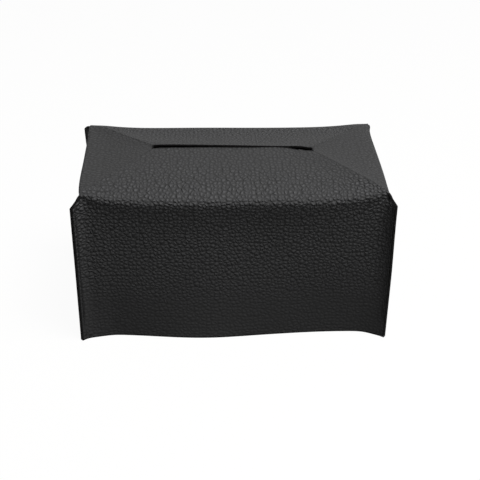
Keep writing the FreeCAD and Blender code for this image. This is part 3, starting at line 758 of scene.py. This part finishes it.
# %% Threads
FIN_STITCH_OUT = FIN_WIDTH - FIN_STITCH_INSET
FIN_SEAM_TOP = FIN_ROOT - FIN_DROP * (1 - FIN_STITCH_INSET / FIN_WIDTH)
FIN_HOLES = 1 + math.floor((FIN_SEAM_TOP - 2 * STITCH_MARGIN) / STITCH_PITCH)
TOP_FIRST = TURN_IN_START + STITCH_MARGIN
TOP_LENGTH = SEAM_SLANT * (LIP_RUN - TURN_IN_START)
TOP_HOLES = 1 + math.floor((TOP_LENGTH - 2 * STITCH_MARGIN) / STITCH_PITCH)
TOP_ROW = CORNER_Z - SEAM_SLANT * (LEATHER + TURN_IN_STITCH) + TOP_FIRST * SEAM_SLOPE
SEAMS = {
    "corner": ((FIN_STITCH_OUT, STITCH_MARGIN), (0, 1), FIN_HOLES),
    "top": ((-TOP_FIRST, TOP_ROW), (-1 / SEAM_SLANT, SEAM_SLOPE / SEAM_SLANT), TOP_HOLES),
}

for p in PANELS:
    for place, seam in SEAMS.items():
        points, cut = seam_thread(p, *seam)
        for corner, left in ((p["right"], False), (p["left"], True)):
            node = f"{corner}_{place}_{p['thread']}_thread"
            ring, faces, corners = close_tube(points, cut, left)
            piece = add_piece("stitches_" + node, ring, faces, corners, np.zeros(len(faces), int), p["turn"])
            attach(piece, "root")
            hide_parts(node)
            pieces[node] = piece
    print(p["name"], "threads:", FIN_HOLES, "and", TOP_HOLES, "holes")

# %% [markdown]
# ## Shared patterns
#
# Several finishes need the same kinds of pattern, so each pattern is a node group with named inputs.
# All of them read the flat cut in millimetres, so that a grain cell or a yarn keeps its real size and
# follows the leather round its bends. Nodes could be placed by hand in the editor; short helpers keep
# each pattern readable as a formula.

# %% Node helpers
def new_group(name, inputs, outputs):
    """An empty shader group with float or vector sockets, and its two end nodes."""
    group = bpy.data.node_groups.new(name, "ShaderNodeTree")
    for label, kind, value in inputs:
        socket = group.interface.new_socket(label, in_out="INPUT", socket_type="NodeSocket" + kind)
        if value is not None:
            socket.default_value = value
    for label, kind in outputs:
        group.interface.new_socket(label, in_out="OUTPUT", socket_type="NodeSocket" + kind)
    return group, group.nodes.new("NodeGroupInput"), group.nodes.new("NodeGroupOutput")


def feed(tree, node, links):
    """A node with its inputs linked or set: links is a list of (input, source)."""
    for socket, source in links:
        if isinstance(source, bpy.types.NodeSocket):
            tree.links.new(source, node.inputs[socket])
        else:
            node.inputs[socket].default_value = source
    return node


def add_node(tree, kind, links=(), **settings):
    """A new node with its settings and its inputs."""
    node = tree.nodes.new("ShaderNode" + kind)
    for key, value in settings.items():
        setattr(node, key, value)
    return feed(tree, node, links)


def math_node(tree, operation, first, second=0.0):
    """The result of one sum on two numbers or sockets."""
    return add_node(tree, "Math", [(0, first), (1, second)], operation=operation).outputs[0]


def scaled(tree, vector, factor):
    """A vector times a number or socket."""
    return add_node(tree, "VectorMath", [(0, vector), ("Scale", factor)], operation="SCALE").outputs[0]


def split_place(tree, place):
    """The parts X, Y and Z of a place."""
    return add_node(tree, "SeparateXYZ", [("Vector", place)]).outputs


def map_range(tree, value, low, high, to_low=0.0, to_high=1.0, kind="LINEAR"):
    """A value carried from one range to another."""
    links = [("Value", value), ("From Min", low), ("From Max", high), ("To Min", to_low), ("To Max", to_high)]
    return add_node(tree, "MapRange", links, interpolation_type=kind).outputs["Result"]


def noise(tree, place, scale, detail, rough=0.5):
    """Noise on a flat place, scale in cells for each unit."""
    links = [("Vector", place), ("Scale", scale), ("Detail", detail), ("Roughness", rough)]
    return add_node(tree, "TexNoise", links, noise_dimensions="2D")


# %% [markdown]
# ### Pebble grain
#
# Pebbled leather is a pavement of small raised cells with creases between them. Cells of uneven size
# come from a cell pattern whose place is first pushed about by noise, so that no crease is straight.
# The distance to the nearest crease gives each cell's rounded shoulder, the distance to the cell's
# middle its dome, and a random height for each cell keeps the pavement from looking even.

# %% Pebble grain group
PUSH, PUSH_SCALE, PUSH_DETAIL = 0.7, 0.9, 3.0
UNEVEN = 0.85
SHOULDER, SHOULDER_WIDTH = 0.7, 0.5
DOME, DOME_WIDTH = 0.6, 0.9
LOWEST_PEBBLE = 0.75
PORES, PORE_SCALE, PORE_DETAIL, PORE_ROUGH = 0.12, 5.0, 3.0, 0.6


def build_pebbles():
    """Height of the pebbles, from a flat place in millimetres: (shoulder + dome) x tallness + pores."""
    group, start, end = new_group(
        "pebble_grain", [("Flat", "Vector", None), ("Pebble", "Float", 2.0)], [("Height", "Float")])
    place = scaled(group, start.outputs["Flat"], math_node(group, "DIVIDE", 1.0, start.outputs["Pebble"]))
    push = noise(group, place, PUSH_SCALE, PUSH_DETAIL).outputs["Color"]
    push = add_node(group, "VectorMath", [(0, push), (1, (0.5, 0.5, 0.5))], operation="SUBTRACT").outputs[0]
    push = scaled(group, push, PUSH)
    place = add_node(group, "VectorMath", [(0, place), (1, push)], operation="ADD").outputs[0]
    links = [("Vector", place), ("Scale", 1.0), ("Randomness", UNEVEN)]
    border = add_node(group, "TexVoronoi", links, voronoi_dimensions="2D", feature="DISTANCE_TO_EDGE")
    cell = add_node(group, "TexVoronoi", links, voronoi_dimensions="2D", feature="F1")
    shoulder = map_range(group, border.outputs["Distance"], 0.0, SHOULDER_WIDTH, 0.0, SHOULDER, "SMOOTHSTEP")
    dome = map_range(group, cell.outputs["Distance"], 0.0, DOME_WIDTH, DOME, 0.0)
    pick = add_node(group, "SeparateColor", [("Color", cell.outputs["Color"])]).outputs["Red"]
    tall = map_range(group, pick, 0.0, 1.0, LOWEST_PEBBLE, 1.0)
    fine = noise(group, place, PORE_SCALE, PORE_DETAIL, PORE_ROUGH).outputs["Fac"]
    height = math_node(group, "MULTIPLY", math_node(group, "ADD", shoulder, dome), tall)
    height = math_node(group, "ADD", height, math_node(group, "MULTIPLY", fine, PORES))
    group.links.new(height, end.inputs["Height"])
    return group


PEBBLES = build_pebbles()
print("group:", PEBBLES.name, [item.name for item in PEBBLES.interface.items_tree])

# %% [markdown]
# ### Uneven tone
#
# No dyed surface is one colour. This group gives two slow clouds, one of hand size and one of finger
# size, as a value round one half that colours and roughness can follow.

# %% Uneven tone group
BROAD, BROAD_DETAIL, BROAD_ROUGH = 0.7, 3.0, 0.55
CLOSE, CLOSE_DETAIL, CLOSE_SCALE = 0.3, 2.0, 5.0
TONE_LOW, TONE_HIGH = 0.3, 0.7


def build_cloud():
    """A slow value round one half, from a flat place in millimetres and the size of its patches."""
    group, start, end = new_group(
        "uneven_tone", [("Flat", "Vector", None), ("Patch", "Float", 40.0)], [("Tone", "Float")])
    flat = start.outputs["Flat"]
    scale = math_node(group, "DIVIDE", 1.0, start.outputs["Patch"])
    broad = noise(group, flat, scale, BROAD_DETAIL, BROAD_ROUGH).outputs["Fac"]
    close = noise(group, flat, math_node(group, "MULTIPLY", scale, CLOSE_SCALE), CLOSE_DETAIL).outputs["Fac"]
    tone = math_node(group, "ADD", math_node(group, "MULTIPLY", broad, BROAD),
                     math_node(group, "MULTIPLY", close, CLOSE))
    group.links.new(tone, end.inputs["Tone"])
    return group


CLOUD = build_cloud()
print("group:", CLOUD.name, [item.name for item in CLOUD.interface.items_tree])

# %% [markdown]
# ## The finishes
#
# Every finish starts in the same way: a Principled shader and the flat cut in millimetres. A few helpers
# give it a colour between two, an uneven tone, a painted mark and a relief that only the light sees.
# Real displacement would need far more faces for the same look.

# %% Finish helpers
def new_finish(name):
    """A material with its Principled shader and the flat cut in millimetres."""
    material = bpy.data.materials.new(name)
    material.use_nodes = True
    tree = material.node_tree
    flat = add_node(tree, "UVMap", uv_map="flat").outputs["UV"]
    return material, tree, tree.nodes["Principled BSDF"], scaled(tree, flat, 1 / MM)


def uneven_tone(tree, flat, patch):
    """The uneven tone for patches of so many millimetres."""
    return add_node(tree, "Group", node_tree=CLOUD, links=[("Flat", flat), ("Patch", patch)]).outputs["Tone"]


def by_tone(tree, tone, low=0.0, high=1.0):
    """A value that follows the uneven tone between two ends."""
    return map_range(tree, tone, TONE_LOW, TONE_HIGH, low, high)


def point_mark(tree, name):
    """A mark that was put on the points of a piece."""
    return add_node(tree, "Attribute", attribute_name=name).outputs["Fac"]


def two_tones(tree, fac, low, high):
    """A colour between two, by a value."""
    ends = [end if isinstance(end, bpy.types.NodeSocket) else (*end, 1) for end in (low, high)]
    return add_node(tree, "Mix", [("Factor", fac), (6, ends[0]), (7, ends[1])], data_type="RGBA").outputs[2]


def bump(tree, height, depth, strength):
    """The normal of a relief that only the light sees, depth millimetres for a height of 1."""
    links = [("Height", height), ("Distance", depth * MM), ("Strength", strength)]
    return add_node(tree, "Bump", links).outputs["Normal"]


def dress(tree, shader, colour, rough, specular, normal):
    """A shader given what it needs."""
    feed(tree, shader, [("Base Color", colour), ("Roughness", rough), ("Specular IOR Level", specular),
                        ("Normal", normal)])


# %% [markdown]
# ### Leather, grain side
#
# The leather is black with a dull top coat. The grain shows mostly by its relief, as light from above picks
# out the creases. Its colour adds painted shade and light: the creases are painted darker and the tops of the
# pebbles paler, and the tops are also smoother. The mark for the grain's depth flattens it where the
# photograph shows it flat, and where the grain is deep the colour is paler, a painted light that is brightest
# at the front fold. Dye from the cut edge darkens it, and the groove that the stitches press gets a painted
# shade.

# %% Leather, grain side
PEBBLE_SIZE, TONE_PATCH = 3.1, 45.0
# FLAT_GRAIN is the relief where the grain is flat; deeper grain paints the leather paler, a painted light
FLAT_GRAIN, RELIEF = 0.1, 1.5
# painted shade in the creases and painted light on the pebble tops
CREASE_SHADE_BLACK, PEBBLE_LIT_BLACK = (0.036, 0.036, 0.036), (0.092, 0.092, 0.094)
# the edge dye is the leather's own colour; the same black is a painted shade in the stitch groove
DYE_AND_GROOVE_SHADE_BLACK, GROOVE_SHADE, WORN_DYE = (0.005, 0.005, 0.005), 0.7, 0.8
CREASE_AT, PEBBLE_AT = 0.1, 1.3
CREASE_ROUGH, PEBBLE_ROUGH, ROUGH_DRIFT = 0.60, 0.44, 0.04
LEATHER_SPECULAR = 0.02


def leather_finish():
    """Black pebbled leather: the relief is a flat height plus the grain's height times its depth. The colour
    follows the relief, with painted shade in the creases and painted light on the pebbles.
    """
    material, tree, shader, flat = new_finish("black_pebbled_leather")
    grain = add_node(tree, "Group", node_tree=PEBBLES, links=[("Flat", flat), ("Pebble", PEBBLE_SIZE)])
    height = grain.outputs["Height"]
    tone = uneven_tone(tree, flat, TONE_PATCH)
    above = math_node(tree, "SUBTRACT", height, FLAT_GRAIN)
    relief = math_node(tree, "MULTIPLY", above, point_mark(tree, "grain_depth_and_painted_light"))
    relief = math_node(tree, "ADD", relief, FLAT_GRAIN)
    # colour from the relief: painted shade in the creases, painted light on the pebble tops and where the
    # grain is deep; the uneven tone is the leather's own
    crease_shade_and_tone = math_node(tree, "MULTIPLY", relief, by_tone(tree, tone, WORN_DYE, 1.0))
    colour = two_tones(tree, crease_shade_and_tone, CREASE_SHADE_BLACK, PEBBLE_LIT_BLACK)
    # painted shade in the stitch groove, together with the edge dye
    groove_shade_mask = math_node(tree, "MULTIPLY", point_mark(tree, "stitch_groove_shade"), GROOVE_SHADE)
    dark = math_node(tree, "MAXIMUM", point_mark(tree, "dyed_edge"), groove_shade_mask)
    colour = two_tones(tree, dark, colour, DYE_AND_GROOVE_SHADE_BLACK)
    rough = map_range(tree, height, CREASE_AT, PEBBLE_AT, CREASE_ROUGH, PEBBLE_ROUGH)
    rough = math_node(tree, "ADD", rough, by_tone(tree, tone, -ROUGH_DRIFT, ROUGH_DRIFT))
    dress(tree, shader, colour, rough, LEATHER_SPECULAR, bump(tree, relief, RELIEF, 1.0))
    return material


leather = leather_finish()
print("finish:", leather.name, "with", len(leather.node_tree.nodes), "nodes")

# %% [markdown]
# ### Wrong side and cut edge
#
# The wrong side is a napped dark felt without any shine, and the cut edge is dyed and a little fibrous.
# Both are fine noise with a slow change of tone; a picture of felt would show its repeats.

# %% Wrong side and cut edge
FELT_SPECULAR = 0.05


def fibre_finish(name, patch, dark, pale, rough, fibres, relief):
    """Dark fibres: patch is the size of the tone's patches, fibres and relief are for noise and bump."""
    material, tree, shader, flat = new_finish(name)
    tone = uneven_tone(tree, flat, patch)
    colour = two_tones(tree, by_tone(tree, tone), dark, pale)
    height = noise(tree, flat, *fibres).outputs["Fac"]
    dress(tree, shader, colour, by_tone(tree, tone, *rough), FELT_SPECULAR, bump(tree, height, *relief))
    return material


wrong_side = fibre_finish(
    "napped_wrong_side", patch=12.0, dark=(0.012, 0.012, 0.013), pale=(0.026, 0.025, 0.025),
    rough=(0.95, 0.95), fibres=(3.0, 4.0, 0.7), relief=(0.2, 0.7))
cut_edge = fibre_finish(
    "dyed_cut_edge", patch=4.0, dark=(0.004, 0.004, 0.004), pale=(0.012, 0.011, 0.011),
    rough=(0.7, 0.9), fibres=(6.0, 3.0, 0.6), relief=(0.12, 0.6))
print("finishes:", wrong_side.name, cut_edge.name)

# %% [markdown]
# ### Cloth and thread
#
# The cloth is a plain weave: the product of two sines, one across and one along, is high where a yarn
# of either set is on top. The thread is twisted from three plies, so its relief is one sine that climbs
# round the thread as it goes along.

# %% Cloth and thread
CLOTH_DARK, CLOTH_PALE = (0.010, 0.010, 0.011), (0.034, 0.033, 0.032)
YARN_PAIR, CLOTH_PATCH, WEAVE_SHARE, TONE_SHARE = 1.1, 20.0, 0.6, 0.4
CLOTH_ROUGH, CLOTH_SPECULAR = 0.9, 0.2
THREAD_DARK, THREAD_PALE = (0.004, 0.004, 0.004), (0.014, 0.014, 0.015)
PLIES, PLY_PITCH = 3, 0.55
THREAD_ROUGH, THREAD_SPECULAR = (0.75, 0.5), 0.35


def cloth_finish():
    """Plain weave of dark yarns."""
    material, tree, shader, flat = new_finish("woven_backing")
    place = split_place(tree, flat)
    turn = 2 * math.pi / YARN_PAIR
    across, along = (math_node(tree, "SINE", math_node(tree, "MULTIPLY", place[axis], turn)) for axis in "XY")
    weave = math_node(tree, "MULTIPLY", across, along)
    tone = uneven_tone(tree, flat, CLOTH_PATCH)
    mixed = math_node(tree, "ADD", map_range(tree, weave, -1.0, 1.0, 0.0, WEAVE_SHARE),
                      by_tone(tree, tone, 0.0, TONE_SHARE))
    colour = two_tones(tree, mixed, CLOTH_DARK, CLOTH_PALE)
    dress(tree, shader, colour, CLOTH_ROUGH, CLOTH_SPECULAR, bump(tree, weave, 0.12, 0.8))
    return material


def thread_finish():
    """Black thread twisted from plies."""
    material, tree, shader, flat = new_finish("twisted_thread")
    place = split_place(tree, flat)
    around = math_node(tree, "MULTIPLY", place["X"], PLIES * 2 * math.pi / ONCE_ROUND)
    along = math_node(tree, "MULTIPLY", place["Y"], 2 * math.pi / PLY_PITCH)
    ply = math_node(tree, "SINE", math_node(tree, "ADD", around, along))
    colour = two_tones(tree, map_range(tree, ply, -1.0, 1.0), THREAD_DARK, THREAD_PALE)
    rough = map_range(tree, ply, -1.0, 1.0, *THREAD_ROUGH)
    dress(tree, shader, colour, rough, THREAD_SPECULAR, bump(tree, ply, 0.05, 0.8))
    return material


cloth, twist = cloth_finish(), thread_finish()
print("finishes:", cloth.name, twist.name)

# %% [markdown]
# ### Put the finishes on
#
# A panel takes three finishes, in the order of the numbers that its faces carry. Cloth and thread take
# one each.

# %% Put the finishes on
FINISHES = {"panel": [leather, wrong_side, cut_edge], "backing": [cloth], "thread": [twist]}

for node, piece in pieces.items():
    for finish in FINISHES[node.split("_")[-1]]:
        piece.data.materials.append(finish)
print("finished pieces:", len(pieces))

# %% [markdown]
# ## Floor
#
# The cover stands on a white sweep. To the camera and to reflections the floor is nearly white by itself, and
# a part of it still takes light, so that a faint shadow stays. To all other rays it is a grey paper, which
# throws only a little light back up the walls. Inside the walls and a few millimetres behind the back wall
# its glow is painted out, a painted shadow: the slit looks dark from above, and behind the back hem it shows
# as a painted contact shadow.

# %% Floor
FLOOR_HALF = 4.0
PAPER, DIM, GLOW = (0.17, 0.17, 0.17, 1), (0.042, 0.041, 0.040, 1), (0.955, 0.955, 0.955)
SHADE_FADE, SHADE_BACK = 4.0, 4.0


def by_ray(tree, dull, bright):
    """The bright shader for camera, glossy and transmission rays, and the dull one for all others."""
    path = add_node(tree, "LightPath").outputs
    seen = math_node(tree, "MAXIMUM", path["Is Camera Ray"], path["Is Glossy Ray"])
    seen = math_node(tree, "MAXIMUM", seen, path["Is Transmission Ray"])
    links = [(0, seen), (1, dull.outputs[0]), (2, bright.outputs[0])]
    return add_node(tree, "MixShader", links).outputs[0]


def painted_floor_shadow(tree):
    """Painted shadow on the floor: 1 inside the walls and 0 outside; it reaches further back, under the hem
    where it swings out and as a painted contact shadow where it does not.
    """
    place = split_place(tree, add_node(tree, "TexCoord").outputs["Object"])
    back = math_node(tree, "SUBTRACT", place["Y"], SHADE_BACK * MM)
    reaches = (place["X"], LENGTH / 2 - LEATHER), (back, DEPTH / 2 - LEATHER + SHADE_BACK)
    along, across = (
        map_range(tree, math_node(tree, "ABSOLUTE", away), wall * MM, (wall - SHADE_FADE) * MM)
        for away, wall in reaches)
    return math_node(tree, "MULTIPLY", along, across)


def add_floor(half):
    """A flat square of floor whose own glow shows only to the camera and to reflections."""
    mesh = bpy.data.meshes.new("floor")
    corners = np.array([[-1, -1, 0], [1, -1, 0], [1, 1, 0], [-1, 1, 0]]) * half
    mesh.from_pydata(corners.tolist(), [], [[0, 1, 2, 3]])
    floor = bpy.data.objects.new("floor", mesh)
    bpy.context.scene.collection.objects.link(floor)
    material = bpy.data.materials.new("white_sweep")
    material.use_nodes = True
    tree = material.node_tree
    tree.nodes.remove(tree.nodes["Principled BSDF"])
    paper = add_node(tree, "BsdfDiffuse", [("Color", PAPER)])
    dim = add_node(tree, "BsdfDiffuse", [("Color", DIM)])
    # the glow is painted out under the cover and just behind it: a painted shadow
    shine = two_tones(tree, painted_floor_shadow(tree), GLOW, (0.0, 0.0, 0.0))
    glow = add_node(tree, "Emission", [("Color", shine), ("Strength", 1.0)])
    bright = add_node(tree, "AddShader", [(0, dim.outputs[0]), (1, glow.outputs[0])])
    feed(tree, tree.nodes["Material Output"], [("Surface", by_ray(tree, paper, bright))])
    mesh.materials.append(material)
    return floor


floor = add_floor(FLOOR_HALF)
print("floor:", floor.name, "of", 2 * FLOOR_HALF, "m")

# %% [markdown]
# ## Light
#
# One large softbox hangs overhead, a little to the front and to the right, so that its light grazes the
# front wall and draws the grain there. A weak even light from all round fills the sides that it misses.
# To the camera and to reflections the world is white, like the floor.

# %% World and softbox
WHITE = (1, 1, 1, 1)
FILL = 0.15
BOX_AT, BOX_AIM, BOX_SIZE, BOX_WATTS = (0.40, -0.33, 1.3), (0, 0, 0.1), 0.6, 20.8


def set_world(strength):
    """Even light from all round; white to the camera and to reflections."""
    world = bpy.data.worlds.new("studio")
    bpy.context.scene.world = world
    world.use_nodes = True
    tree = world.node_tree
    soft = feed(tree, tree.nodes["Background"], [("Color", WHITE), ("Strength", strength)])
    white = add_node(tree, "Background", [("Color", WHITE), ("Strength", 1.0)])
    feed(tree, tree.nodes["World Output"], [("Surface", by_ray(tree, soft, white))])


def add_softbox(name, place, aim, size, watts):
    """A square area lamp at a place, turned to look at a point."""
    lamp = bpy.data.lights.new(name, "AREA")
    lamp.shape = "SQUARE"
    lamp.size = size
    lamp.energy = watts
    box = bpy.data.objects.new(name, lamp)
    toward = np.array(aim) - np.array(place)
    back = -toward / np.linalg.norm(toward)
    side = np.cross([0, 1, 0], back)
    side /= np.linalg.norm(side)
    turn = np.eye(4)
    turn[:3] = np.stack([side, np.cross(back, side), back, place], axis=1)
    box.matrix_world = turn.T.tolist()
    bpy.context.scene.collection.objects.link(box)


set_world(FILL)
add_softbox("overhead_softbox", BOX_AT, BOX_AIM, BOX_SIZE, BOX_WATTS)
bpy.context.scene.view_settings.view_transform = "Standard"
